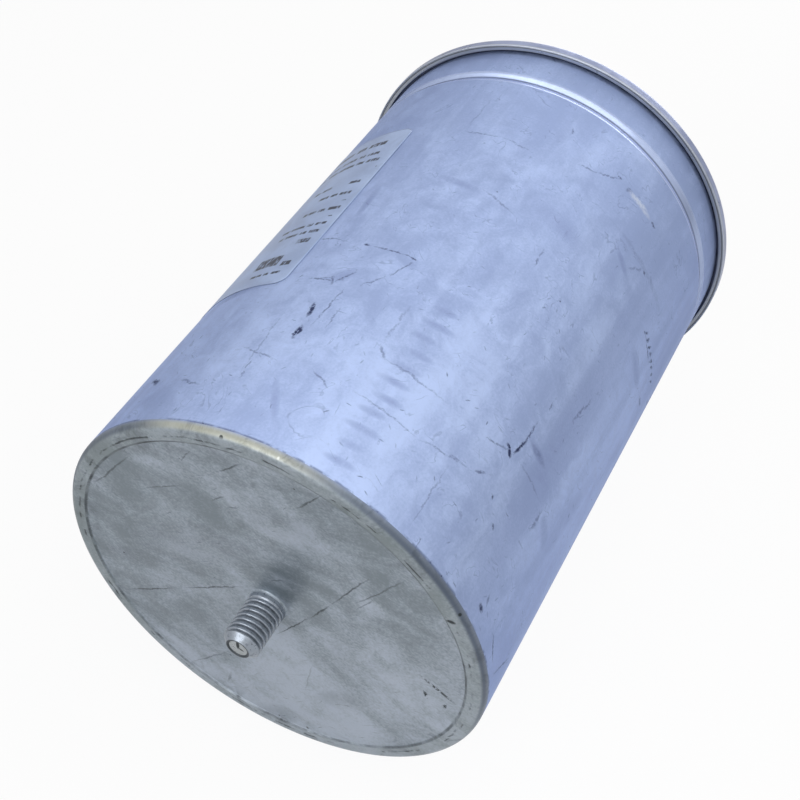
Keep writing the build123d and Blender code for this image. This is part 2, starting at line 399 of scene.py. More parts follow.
class Nodes:
    """A node tree, and the one way in which nodes are added to it."""

    def __init__(self, tree):
        self.tree = tree

    def add(self, kind, settings=None, sockets=None, output=0):
        """Adds a node of a type: its settings first, then the values or links of its sockets."""
        node = self.tree.nodes.new("ShaderNode" + kind)
        for name, value in (settings or {}).items():
            setattr(node, name, value)
        for name, item in (sockets or {}).items():
            feed(node.inputs[name], item)
        return Value(node.outputs[output])

    def split(self, vector):
        """The three parts of a vector."""
        node = self.add("SeparateXYZ", None, {0: vector}).socket.node
        return [Value(part) for part in node.outputs]

    def vector(self, operation, *items, output=0):
        """One Vector Math node; a Scale takes its number in its own socket."""
        sockets = {"Scale" if operation == "SCALE" and place else place: item
                   for place, item in enumerate(items)}
        return self.add("VectorMath", {"operation": operation}, sockets, output)

    def blend(self, share, first, second):
        """Mixes two colours by a share from 0 to 1."""
        return self.add("Mix", {"data_type": "RGBA"}, {0: share, 6: first, 7: second}, 2)

    def ramp(self, value, low, high, first=0.0, last=1.0):
        """Smooth step from first to last as a value goes from low to high."""
        sockets = {"Value": value, "From Min": low, "From Max": high, "To Min": first, "To Max": last}
        return self.add("MapRange", {"interpolation_type": "SMOOTHSTEP"}, sockets)

    def facing(self, place, side, low, high, first=0.0, last=1.0):
        """Smooth step on how far a place lies toward a side: its dot product with that direction."""
        toward = self.vector("DOT_PRODUCT", place, side, output="Value")
        return self.ramp(toward, low, high, first, last)

    def folded(self, operation, vector):
        """The least or the greatest of the three parts of a vector."""
        one, two, three = self.split(vector)
        return math_node(operation, one, math_node(operation, two, three))


class Finish(Nodes):
    """One material: a Principled shader with its constants, and the nodes that feed it."""

    def __init__(self, name, **constants):
        self.material = bpy.data.materials.new(name)
        self.material.use_nodes = True
        super().__init__(self.material.node_tree)
        self.shader = self.tree.nodes["Principled BSDF"]
        for socket, value in constants.items():
            self.shader.inputs[socket.replace("_", " ").title()].default_value = value
        self.place = self.add("TexCoord", output="Object")
        self.x, self.y, self.z = self.split(self.place)

    def stretched(self, across, along):
        """Object place with the can's axis scaled apart from the two other axes."""
        return self.vector("MULTIPLY", self.place, (across, across, along))

    def noise(self, size, detail=3.0, roughness=0.55, distortion=0.0, place=None):
        """Noise with features of about that size, from 0 to 1 around one half."""
        sockets = {"Vector": place or self.place, "Scale": 1 / size, "Detail": detail,
                   "Roughness": roughness, "Distortion": distortion}
        return self.add("TexNoise", None, sockets)

    def specks(self, spacing, size, kept, place=None):
        """Dots of about a size, in each Voronoi cell whose random number is under the kept share."""
        distance = self.add("TexVoronoi", None, {"Vector": place or self.place, "Scale": 1 / spacing})
        chance = self.split(Value(distance.socket.node.outputs["Color"]))[0]
        dot = self.ramp(distance, size / spacing * 0.6, size / spacing, 1.0, 0.0)
        return dot * math_node("LESS_THAN", chance, kept)

    def dashes(self, flat, spacing, length, width, kept, spread=math.pi):
        """Short random lines on a flat place in mm, in each Voronoi cell whose random number is under the
        kept share: 1 - a^2 - b^2 about the cell's point, turned by a random part of a spread."""
        sockets = {"Vector": flat, "Scale": 1 / spacing}
        cell = self.add("TexVoronoi", {"voronoi_dimensions": "2D"}, sockets).socket.node
        chance, turn, weight = self.split(Value(cell.outputs["Color"]))
        offset = self.vector("SUBTRACT", flat, Value(cell.outputs["Position"]))
        turned = self.add("VectorRotate", {"rotation_type": "Z_AXIS"},
                          {"Vector": offset, "Angle": (turn - 0.5) * spread})
        shares = self.vector("MULTIPLY", turned, (2 / width, 2 / length, 0))
        line = clamped(1 - self.vector("DOT_PRODUCT", shares, shares, output="Value"))
        return line * math_node("LESS_THAN", chance, kept) * weight

    def tripled(self, flat):
        """The two parts of a flat place, each as a vector of three alike."""
        return [self.add("CombineXYZ", None, {0: part, 1: part, 2: part})
                for part in self.split(flat)[:2]]

    def bars(self, flat, boxes):
        """Mask of plain bars on a flat place in mm, each given as left, right, low and high: inside,
        the shares of the half width and half height are both under one. Three are worked out at a
        time, one in each part of a vector."""
        wide, tall = self.tripled(flat)
        nearest = (9.0, 9.0, 9.0)
        for first in range(0, len(boxes), 3):
            left, right, low, high = np.array((boxes[first:first + 3] * 3)[:3]).T
            shares = []
            for part, start, end in ((wide, left, right), (tall, low, high)):
                scale, offset = 2 / (end - start), -(start + end) / (end - start)
                share = self.vector("MULTIPLY_ADD", part, tuple(scale), tuple(offset))
                shares.append(self.vector("ABSOLUTE", share))
            nearest = self.vector("MINIMUM", self.vector("MAXIMUM", *shares), nearest)
        return self.ramp(self.folded("MINIMUM", nearest), 0.94, 1.06, 1.0, 0.0)

    def strokes(self, flat, lines):
        """Mask of tapered lines on a flat place in mm. Each line is a thin ellipse whose strength falls
        as 1 - a^2 - b^2, with a and b the shares of its half length and half width at a place.
        Three lines are worked out at a time, one in each part of a vector."""
        wide, tall = self.tripled(flat)
        mask = (0.0, 0.0, 0.0)
        for first in range(0, len(lines), 3):
            trio = (lines[first:first + 3] * 3)[:3]
            start, end = (np.array([line[end] for line in trio]) for end in (0, 1))
            width, strength = (np.array([line[size] for line in trio]) for size in (2, 3))
            reach = (end - start) / 2
            half = np.linalg.norm(reach, axis=1)
            along = reach / (half * (half + width))[:, None]
            aside = np.stack([-reach[:, 1], reach[:, 0]], axis=1) / (half * width)[:, None]
            falls = []
            for part in (along, aside):
                offset = -np.sum(part * (start + end) / 2, axis=1)
                level = self.vector("MULTIPLY_ADD", wide, tuple(part[:, 0]), tuple(offset))
                falls.append(self.vector("MULTIPLY_ADD", tall, tuple(part[:, 1]), level))
            squares = self.vector("MULTIPLY", falls[0], falls[0])
            squares = self.vector("MULTIPLY_ADD", falls[1], falls[1], squares)
            line = self.vector("MULTIPLY_ADD", squares, tuple(-strength), tuple(strength))
            mask = self.vector("MAXIMUM", line, mask)
        return self.folded("MAXIMUM", mask)

    def bump(self, height, strength, distance):
        """Feeds a height, in shares of a distance in metres, to the shader's normal."""
        sockets = {"Strength": strength, "Distance": distance, "Height": height}
        feed(self.shader.inputs["Normal"], self.add("Bump", None, sockets))

    def wear(self, colour, roughness):
        """Feeds the shader's colour and roughness."""
        feed(self.shader.inputs["Base Color"], colour)
        feed(self.shader.inputs["Roughness"], roughness)


# Colours of the finishes. The blue of the wall, the seam and the label film is a painted reflection of a
# blue sky on the aluminium, and the base's greyer, darker colours are painted shade on the same aluminium
WALL_GLINT, WALL_DARK, WALL_LIGHT = shade(190, 208, 255), shade(149, 165, 203), shade(177, 194, 230)
# Wall's darkest colour: painted shade under the seam's lip, and marks, ticks, specks and stain edges
WALL_SMUDGE, WALL_DIRT_AND_SHADE, SCUFF_WHITE = shade(120, 133, 174), shade(48, 55, 86), shade(216, 222, 230)
# Painted highlight for the bead's flanks, and painted shade for its crease
BEAD_HIGHLIGHT, BEAD_CREASE_SHADE = shade(216, 226, 250), shade(92, 102, 124)
BASE_DARK, BASE_LIGHT, BASE_DIRT = shade(124, 135, 143), shade(180, 190, 204), shade(50, 56, 60)
SEAT_GREY, NICK_WHITE = shade(140, 149, 146), shade(222, 225, 222)
# Corner of the base: a painted khaki reflection, the wall's painted blue, and painted shade
CORNER_KHAKI_REFLECTION, CORNER_BLUE, CORNER_SHADE_TINT = shade(190, 186, 156), shade(138, 152, 188), shade(86, 96, 114)
# Stud's darkest colour: painted shade in the grooves, and the dark rim, nicks and spots
STUD_DARK, STUD_LIGHT, STUD_GREASE_AND_SHADE = shade(118, 126, 138), shade(176, 184, 194), shade(52, 57, 60)
FACE_PALE = shade(186, 190, 190)
# Seam's darkest colour: painted shade in the gap behind the lip, and the dark fold and specks
SEAM_DARK, SEAM_LIGHT, SEAM_GRIME_AND_SHADE = shade(134, 143, 174), shade(160, 169, 199), shade(54, 60, 74)
# The lip's underside is painted a lighter grey for light on it, and its lower edge a painted highlight
LIP_GREY, LIP_EDGE_HIGHLIGHT = shade(176, 180, 182), shade(206, 214, 232)
LID_DARK, LID_LIGHT, LID_SPECK = shade(148, 156, 178), shade(182, 188, 204), shade(60, 64, 74)
FILM_DARK, FILM_LIGHT = shade(152, 171, 209), shade(173, 192, 228)
FILM_INK, FILM_SPECK = shade(30, 38, 62), shade(60, 68, 90)
CERAMIC_DARK, CERAMIC_LIGHT = shade(222, 216, 202), shade(238, 234, 224)
CERAMIC_PORE = shade(150, 142, 126)

# Marks on the wall: start and end as (arc from +X, height) in mm, half width in mm, and strength
WALL_MARKS = [
    ((-41.3, 83.6), (-24.5, 83.5), 0.35, 0.75),
    ((-43.2, 55.0), (-42.2, 49.5), 0.8, 1.3),
    ((-41.5, 45.0), (-41.0, 40.0), 0.9, 1.5),
    ((-38.0, 65.0), (-38.8, 45.0), 0.35, 0.6),
    ((-35.2, 56.0), (-35.0, 46.0), 0.3, 0.45),
    ((-50.5, 65.0), (-42.0, 67.0), 0.5, 0.5),
    ((-25.3, 83.0), (-29.5, 73.0), 0.4, 0.55),
    ((-29.5, 73.0), (-34.5, 66.0), 0.4, 0.5),
    ((-54.3, 33.5), (-40.0, 30.0), 0.4, 0.5),
    ((-18.0, 30.0), (4.0, 28.5), 0.45, 0.4),
    ((4.0, 28.5), (22.0, 33.0), 0.45, 0.4),
    ((26.0, 49.0), (28.6, 47.0), 1.0, 1.7),
    ((30.7, 64.0), (30.3, 51.0), 0.45, 0.75),
    ((31.8, 73.5), (31.8, 70.0), 0.4, 0.5),
    ((32.5, 56.5), (41.0, 56.0), 1.2, 0.25),
    ((32.0, 48.5), (46.5, 48.0), 0.5, 0.3),
    ((49.5, 47.0), (49.0, 39.0), 0.7, 0.45),
    ((44.3, 89.5), (41.8, 76.0), 0.6, 0.5),
    ((15.0, 160.5), (16.5, 161.5), 0.8, 0.6),
    ((29.0, 160.5), (30.8, 160.0), 0.7, 0.95),
    ((-2.4, 154.0), (4.0, 156.5), 0.5, 0.5),
    ((4.0, 156.5), (11.8, 161.8), 0.5, 0.55),
    ((-40.3, 147.0), (-28.0, 149.0), 0.5, 0.4),
    ((-28.0, 149.0), (-16.5, 147.8), 0.5, 0.35),
    ((-40.3, 147.0), (-39.8, 169.0), 0.4, 0.2),
    ((-10.2, 167.5), (-10.0, 165.0), 0.4, 0.6),
    ((-22.5, 122.5), (-10.0, 118.5), 0.6, 0.4),
    ((35.8, 143.5), (29.5, 136.0), 0.7, 0.4),
    ((16.5, 144.5), (55.0, 143.0), 1.4, 0.16),
    ((3.6, 109.0), (3.7, 107.0), 0.5, 0.6),
    ((46.0, 8.5), (48.0, 7.8), 0.9, 1.0),
    ((47.5, 13.0), (48.5, 10.0), 0.5, 0.5),
    ((79.0, 17.0), (71.0, 5.5), 0.6, 0.55),
    ((-82.5, 22.5), (-77.5, 20.0), 1.2, 1.1),
    ((-66.5, 19.0), (-57.5, 17.0), 0.5, 0.55),
    ((-50.0, 51.0), (-47.8, 22.0), 0.4, 0.3),
    ((69.0, 119.5), (74.0, 121.0), 0.9, 0.5),
    ((-51.3, 65.5), (-42.3, 65.0), 0.45, 0.7),
    ((-42.3, 65.0), (-38.7, 71.0), 0.45, 0.7),
    ((-44.0, 67.5), (-42.5, 63.5), 0.6, 0.6),
    ((-47.4, 29.0), (-47.2, 21.0), 0.4, 0.5),
    ((-41.9, 83.6), (-41.2, 83.6), 0.6, 1.0),
    ((-26.8, 83.5), (-26.0, 83.4), 0.6, 0.9),
    ((-18.7, 67.0), (-18.5, 48.0), 0.5, 0.3),
    ((-18.5, 48.0), (-15.5, 44.5), 0.6, 0.5),
    ((-17.0, 44.5), (5.5, 44.0), 0.5, 0.4),
    ((18.6, 44.0), (27.6, 48.0), 0.4, 0.5),
    ((29.5, 48.5), (30.4, 56.0), 0.7, 1.3),
    ((50.5, 130.0), (63.0, 128.5), 0.4, 0.7),
    ((79.5, 130.0), (84.5, 133.0), 0.7, 0.6),
    ((10.7, 162.2), (11.5, 162.2), 0.7, 0.9),
    ((36.3, 143.0), (37.3, 142.5), 0.8, 0.7),
    ((3.5, 114.5), (3.7, 110.0), 0.4, 0.4),
    ((-59.0, 85.0), (-50.5, 85.0), 0.45, 0.55),
    ((58.0, 9.0), (66.0, 5.0), 0.6, 0.6),
    ((30.0, 33.0), (30.6, 32.6), 0.6, 0.8),
    ((35.5, 27.0), (36.0, 26.6), 0.6, 0.7),
    ((22.0, 34.0), (24.5, 36.0), 0.6, 0.7),
    ((14.6, 29.0), (14.9, 5.0), 0.3, 0.35),
    ((-74.0, 62.0), (-60.5, 66.5), 0.5, 0.45),
    ((-30.0, 31.0), (-23.0, 27.0), 0.5, 0.5),
]

# Wide faint dark strokes on the wall, in the same terms: a broad band from the foot to below the bead,
# then smears
WALL_SMEARS = [
    ((43.0, 4.0), (42.0, 150.0), 8.0, 0.4),
    ((-53.2, 113.0), (-52.5, 97.0), 1.6, 0.6),
    ((-36.0, 122.0), (-22.0, 120.5), 2.0, 0.5),
    ((24.0, 137.5), (31.0, 133.5), 1.6, 0.6),
    ((33.0, 57.0), (41.0, 56.0), 2.2, 0.7),
    ((50.0, 120.0), (62.0, 118.0), 3.0, 0.5),
    ((-44.0, 66.0), (-40.0, 70.0), 3.0, 0.5),
    ((-5.0, 128.0), (12.0, 125.0), 5.0, 0.3),
    ((60.0, 30.0), (66.0, 80.0), 4.0, 0.4),
    ((53.0, 46.0), (59.0, 43.0), 3.0, 0.6),
    ((-37.0, 24.0), (-29.5, 10.0), 1.4, 0.5),
    ((-86.0, 60.0), (-66.0, 63.0), 2.6, 0.6),
]

# One pale scuff under the bead, in the same terms
WALL_SCUFFS = [((16.5, 160.8), (26.5, 160.6), 1.6, 0.6)]

# Slanted dashes in one scuffed row, and a ladder of faint smudges, in mm
DASH_FIRST, DASH_STEP, DASH_COUNT = (50.5, 131.5), 2.9, 8
DASH_LEAN, DASH_DROP, DASH_WIDTH = 1.5, 1.6, 0.65
RUNG_LOW, RUNG_STEP, RUNG_COUNT = 8.0, 6.2, 11
RUNG_LEFT, RUNG_RIGHT, RUNG_SLANT = -13.0, -5.5, 0.6
RUNG_WIDTH, RUNG_STRENGTH = 1.6, 0.55

# Scratches on the base: start and end as (x, y) in mm, half width in mm, and strength
BASE_MARKS = [
    ((-12.4, 7.3), (8.3, 11.7), 0.3, 0.8),
    ((8.3, 11.7), (20.0, 13.2), 0.4, 0.85),
    ((20.0, 13.2), (44.2, 15.5), 0.35, 0.75),
    ((27.0, 17.3), (53.8, 22.8), 0.35, 0.55),
    ((26.2, 19.0), (36.6, 20.4), 0.3, 0.5),
    ((-47.6, -37.3), (-24.0, -23.0), 0.35, 0.7),
    ((-24.0, -23.0), (1.0, -8.0), 0.35, 0.75),
    ((49.7, -10.6), (62.8, -7.6), 0.35, 0.75),
    ((-61.4, -6.5), (-39.3, 0.3), 0.35, 0.5),
    ((11.0, -47.6), (24.8, -39.3), 0.3, 0.55),
    ((27.6, -30.4), (33.8, -27.6), 0.35, 0.55),
    ((29.6, -25.5), (33.2, -23.5), 0.3, 0.45),
    ((41.4, -32.7), (51.0, -29.3), 0.4, 0.7),
    ((-4.1, -60.7), (22.0, -55.2), 0.4, 0.6),
    ((34.5, -42.5), (41.4, -42.1), 0.3, 0.5),
    ((-30.4, 25.5), (-13.8, 21.4), 0.35, 0.3),
    ((11.0, -4.1), (16.6, -0.7), 0.3, 0.5),
    ((-56.5, 6.0), (-51.5, 5.3), 0.6, 0.4),
    ((50.7, 38.3), (51.4, 39.0), 1.1, 1.3),
    ((-50.4, 34.9), (-50.2, 34.7), 0.6, 0.8),
]

# Wide smears and small flecks on the base, in the same terms
BASE_SMEARS = [
    ((-26.0, 32.0), (-16.0, 39.0), 5.0, 0.32),
    ((-57.0, 22.0), (-50.0, 28.0), 5.0, 0.3),
    ((-14.0, -40.0), (16.0, -16.0), 11.0, 0.2),
    ((-30.0, -46.0), (-20.0, -34.0), 5.0, 0.16),
    ((-8.0, 30.0), (4.0, 22.0), 4.0, 0.12),
    ((30.0, -20.0), (48.0, -2.0), 7.0, 0.14),
]
BASE_FLECKS = [
    ((17.2, 58.0), (18.6, 44.5), 0.75, 1.0),
    ((12.0, 56.5), (13.5, 56.0), 0.75, 1.0),
    ((10.6, 51.0), (13.0, 49.0), 0.75, 1.0),
]

# Sides of the base: one painted lighter as painted light, one with a painted khaki reflection on the
# corner, two with painted shade on the corner; and the turns of its smears and hairs
PAINTED_LIGHT_SIDE = (-0.6, 0.8, 0)
KHAKI_REFLECTION_SIDE = (0.84, -0.54, 0)
CORNER_SHADE_SIDE = (0.82, 0.57, 0)
SHADED_SIDE = (0.21, -0.98, 0)
SMEAR_TURN = math.radians(10)
COMB_TURN = math.radians(57)

# Nicks in the stud's end face, in the same terms as the base's scratches
FACE_NICKS = [((3.0, -1.3), (-0.1, 0.0), 0.65, 1.6), ((0.3, 0.1), (0.3, 1.7), 0.42, 1.3)]

# Rows of plain bars on the label: level, height, left and right end on the unrolled wall, in mm,
# and the bars' lengths and gaps as shares of their height
BAR_ROWS = [
    (141.5, 2.4, -118.0, -66.6), (135.0, 1.6, -126.0, -65.8), (130.4, 1.7, -126.0, -63.3),
    (117.4, 1.5, -68.0, -63.0), (117.4, 1.5, -84.0, -75.5), (117.4, 1.5, -148.0, -112.0),
    (111.0, 1.5, -77.0, -63.0), (111.0, 1.5, -148.0, -120.0), (106.4, 0.5, -64.6, -62.3),
    (102.4, 1.6, -78.0, -62.0), (102.4, 1.6, -148.0, -116.0), (97.8, 0.5, -64.6, -62.3),
    (94.0, 1.4, -82.0, -62.3), (94.0, 1.4, -148.0, -104.0), (89.8, 1.4, -80.0, -62.3),
    (89.8, 1.4, -148.0, -108.0), (84.9, 2.2, -68.2, -63.1), (75.5, 5.4, -79.0, -68.5),
    (73.2, 2.2, -66.6, -62.8), (68.6, 1.2, -78.0, -64.0), (68.6, 1.2, -148.0, -122.0),
]
BAR_SHARES = (3.1, 1.9, 4.2, 2.6)
BAR_GAP_SHARE = 0.7


def wavered(finish, flat, size, reach):
    """A flat place in mm, pushed about by up to half a reach in mm by noise of a size in mm."""
    sockets = {"Vector": flat, "Scale": 1 / size, "Detail": 4.0, "Roughness": 0.65}
    push = finish.add("TexNoise", {"noise_dimensions": "2D"}, sockets, "Color")
    centred = finish.vector("ADD", flat, (-reach / 2, -reach / 2, 0))
    return finish.vector("MULTIPLY_ADD", push, (reach, reach, 0), centred)


def wall_place(finish):
    """Unrolled place on the wall in mm: arc from +X, and height."""
    arc = math_node("ARCTAN2", finish.y, finish.x) * (CAN_RADIUS / MM)
    return finish.add("CombineXYZ", None, {0: arc, 1: finish.z / MM})


def flat_place(finish):
    """Place across the can's axis in mm, without its height."""
    return finish.vector("SCALE", finish.vector("MULTIPLY", finish.place, (1, 1, 0)), 1 / MM)


def axis_distance(finish):
    """Distance from the can's axis in mm."""
    return finish.vector("LENGTH", flat_place(finish), output="Value")


def scuffed_row():
    """Slanted dashes in one row on the wall, a step apart, in the terms of the wall's marks."""
    left, high = DASH_FIRST
    starts = [left + DASH_STEP * place for place in range(DASH_COUNT)]
    return [((start, high - DASH_DROP), (start + DASH_LEAN, high), DASH_WIDTH, 1.0) for start in starts]


def smudge_ladder():
    """Faint smudges one above the other on the wall, in the terms of its marks. Their ends wander by
    sines of the smudge's number."""
    rungs = []
    for place in range(RUNG_COUNT):
        low = RUNG_LOW + RUNG_STEP * place
        left = RUNG_LEFT + 1.2 * math.sin(2.1 * place)
        right = RUNG_RIGHT + 1.5 * math.sin(3.7 * place)
        rungs.append(((left, low), (right, low + RUNG_SLANT), RUNG_WIDTH, RUNG_STRENGTH))
    return rungs


def wall_finish():
    """Drawn aluminium wall: cloudy satin, darker towards the top as painted shade, faint drawing lines,
    stains, specks, ticks and listed marks, painted shade under the seam, broken up like smudges, a darker
    band along the foot, and a bead with a painted highlight on its flanks and painted shade in its
    crease."""
    wall = Finish("can_wall", metallic=0.5, specular_tint=WALL_GLINT)
    level = wall.z / MM
    flat = wall_place(wall)
    drawn = wavered(wall, flat, 4.0, 2.4)
    nudged = wavered(wall, flat, 3.0, 0.9)
    cloud = wall.noise(44 * MM, 4.0, 0.6, 0.9, wall.stretched(1.0, 0.7))
    patch = wall.noise(10 * MM, 4.5, 0.66, 1.2)
    bands = wall.noise(6 * MM, 2.0, 0.6, 0.0, wall.stretched(1.0, 0.02))
    grain = wall.noise(0.7 * MM, 1.0, 0.6)
    mottle = (patch - 0.5) * wall.ramp(level, 90, 150, 0.6, 0.42)
    tone = cloud * 0.65 + 0.21 + mottle + (bands - 0.5) * 0.34 + (grain - 0.5) * 0.2
    # Darker towards the top, from 95 to 165 mm, as painted shade, and a little darker below 30 to 70 mm
    tone = tone - wall.ramp(level, 95, 165) * 0.1 - wall.ramp(level, 30, 70, 0.04, 0.0)
    colour = wall.blend(wall.ramp(tone, 0.3, 0.74), WALL_DARK, WALL_LIGHT)

    above = (wall.z - BEAD_MIDDLE) / MM
    bead = wall.ramp(abs(above), 2.4, 3.2, 1.0, 0.0)
    broken = wall.ramp(wall.noise(1.0 * MM, 3.0, 0.65), 0.36, 0.54, 0.2, 1.0)
    marks = wall.strokes(drawn, WALL_MARKS + scuffed_row()) * broken
    smudge = wall.strokes(flat, smudge_ladder() + WALL_SMEARS) * wall.ramp(patch, 0.32, 0.6, 0.35, 1.0)
    wear_and_reflection = wall.ramp(level, 30, 130, 1.0, 0.45) * wall.ramp(patch, 0.42, 0.6, 0.25, 1.0)
    ticks = wall.dashes(nudged, 4.2, 2.0, 0.5, 0.3) * 0.75
    ticks = ticks + wall.dashes(nudged, 9.0, 4.6, 0.4, 0.25) * 0.4
    specks = wall.specks(8 * MM, 0.5 * MM, 0.25) * 0.7
    stain = wall.noise(26 * MM, 3.0, 0.6, 2.2)
    edge = wall.ramp(abs(stain - 0.5), 0.0, 0.014, 1.0, 0.0) * wall.ramp(patch, 0.5, 0.62) * 0.25
    # Painted shade on the wall under the seam's lip, broken up by noise like a smudge
    lip = wall.ramp((wall.z - LIP_BOTTOM) / MM, -1.3, 0.0) * wall.ramp(patch, 0.4, 0.64, 0.12, 0.5)
    # A darker band along the foot of the wall, broken up by noise
    foot = wall.ramp(level, 2.5, 3.3, 0.6, 0.0) * wall.ramp(patch, 0.42, 0.58)
    dirt_and_shade = clamped((marks + lip + foot + ticks * wear_and_reflection + specks + edge) * (1 - bead))

    colour = wall.blend(clamped(smudge * (1 - bead)), colour, WALL_SMUDGE)
    colour = wall.blend(dirt_and_shade, colour, WALL_DIRT_AND_SHADE)
    colour = wall.blend(wall.strokes(drawn, WALL_SCUFFS) * broken, colour, SCUFF_WHITE)
    # Painted highlight on the bead's flanks, stronger on the lower flank
    colour = wall.blend(bead * wall.ramp(above, -0.5, 0.2, 0.85, 0.3), colour, BEAD_HIGHLIGHT)
    # Painted shade in the bead's crease
    colour = wall.blend(wall.ramp(abs(above), 0.25, 0.65, 0.75, 0.0), colour, BEAD_CREASE_SHADE)
    rough = wall.ramp(patch, 0.3, 0.7, 0.36, 0.5) + dirt_and_shade * 0.2
    wall.wear(colour, rough * (1 - bead) + bead * 0.24)
    wall.bump((wall.noise(5 * MM, 3.0, 0.6) - 0.5) * (1 - bead), 0.3, 0.06 * MM)
    return wall.material


def base_finish():
    """Pressed base: grey smeared metal, greyer and darker than the wall as painted shade, one side
    painted lighter as painted light, scratches, a dirty ring at the step, and a corner with a painted
    khaki reflection on one side and painted shade on two."""
    base = Finish("can_base", metallic=0.55)
    flat = flat_place(base)
    radius = axis_distance(base)
    from_step = radius - SEAT_INNER / MM
    from_wall = radius - CAN_RADIUS / MM
    drawn = wavered(base, flat, 6.0, 1.6)
    smeared, combed = (base.add("VectorRotate", {"rotation_type": "Z_AXIS"},
                                {"Vector": drawn, "Angle": turn}) for turn in (SMEAR_TURN, COMB_TURN))
    streaked = base.vector("MULTIPLY", base.vector("SCALE", smeared, MM), (1.0, 0.68, 1.0))
    cloud = base.noise(24 * MM, 5.0, 0.62, 0.8, streaked)
    smear = base.noise(8 * MM, 3.5, 0.58, 0.7, streaked)
    grain = base.noise(0.7 * MM, 2.0, 0.6, 0.0, streaked)
    patch = base.noise(9 * MM, 5.0, 0.66, 1.0)
    # One side of the base painted lighter: painted light
    side = base.facing(flat, PAINTED_LIGHT_SIDE, -30, 40, -0.05, 0.05)
    tone = base.ramp(cloud * 0.66 + smear * 0.34 + (grain - 0.5) * 0.28 + side, 0.33, 0.67)
    colour = base.blend(tone, BASE_DARK, BASE_LIGHT)

    broken = base.ramp(base.noise(1.4 * MM, 3.0, 0.65), 0.3, 0.5, 0.5, 1.0)
    marks = base.strokes(drawn, BASE_MARKS) * broken
    smudge = base.strokes(flat, BASE_SMEARS) * base.ramp(smear, 0.34, 0.6, 0.3, 1.0)
    flecks = base.strokes(flat, BASE_FLECKS) * base.ramp(base.noise(1.1 * MM, 1.0), 0.42, 0.5)
    hair = base.noise(0.8, 2.0, 0.5, 0.0, base.vector("MULTIPLY", combed, (1.0, 0.03, 1.0)))
    hair = base.ramp(hair, 0.62, 0.72) * base.ramp(smear, 0.46, 0.6) * 0.18
    ticks = base.dashes(combed, 4.0, 3.2, 0.35, 0.35, 1.0) * base.ramp(cloud, 0.42, 0.6) * 0.5
    ring = base.ramp(abs(from_step + 0.4), 0.15, 0.6, 1.0, 0.0) * base.ramp(smear, 0.34, 0.6, 0.2, 0.9)
    rub = base.ramp(abs(from_step - 1.6 + (smear - 0.5) * 2.0), 0.1, 0.45, 1.0, 0.0)
    rub = rub * base.ramp(patch, 0.48, 0.6) * 0.6
    rub = rub + base.ramp(from_step, -7.7, -0.7) * base.ramp(patch, 0.5, 0.66) * 0.28
    specks = base.specks(7 * MM, 0.45 * MM, 0.2) * 0.6
    corner = base.ramp(from_wall, -1.6, -0.6)
    chips = base.specks(5 * MM, 0.8 * MM, 0.3) * corner
    nicks = base.specks(7 * MM, 0.45 * MM, 0.4, base.vector("SCALE", drawn, MM)) * corner
    dirt_and_shade = clamped(marks + smudge + flecks + hair + ticks + ring * 0.7 + rub + specks + chips)

    bearing = base.vector("NORMALIZE", flat)
    # A painted khaki reflection on one side of the corner
    wear_and_reflection = base.facing(bearing, KHAKI_REFLECTION_SIDE, 0.86, 0.98)
    # Painted shade on two sides of the corner
    shaded = base.facing(bearing, SHADED_SIDE, 0.85, 0.97) * 0.75
    corner_shade = math_node("MAXIMUM", base.facing(bearing, CORNER_SHADE_SIDE, 0.5, 0.95), shaded)
    corner_shade = corner_shade * base.ramp(abs(from_wall + 0.7), 0.2, 1.0, 0.9, 0.4)
    # Upper part of the corner blended to the wall's blue, a painted sky reflection
    merged = base.ramp(base.z / MM, 1.3, 2.4, 0.0, 0.55)
    colour = base.blend(base.ramp(from_step, -1.2, 0.3) * 0.3, colour, SEAT_GREY)
    colour = base.blend(corner * wear_and_reflection * 0.45, colour, CORNER_KHAKI_REFLECTION)
    colour = base.blend(merged, colour, CORNER_BLUE)
    colour = base.blend(corner * corner_shade, colour, CORNER_SHADE_TINT)
    colour = base.blend(nicks * 0.6, colour, NICK_WHITE)
    colour = base.blend(dirt_and_shade, colour, BASE_DIRT)
    base.wear(colour, base.ramp(smear, 0.3, 0.7, 0.32, 0.46) + dirt_and_shade * 0.2 + corner * 0.06)
    base.bump(base.noise(8 * MM, 3.0, 0.55, 0.5, streaked), 0.25, 0.08 * MM)
    return base.material


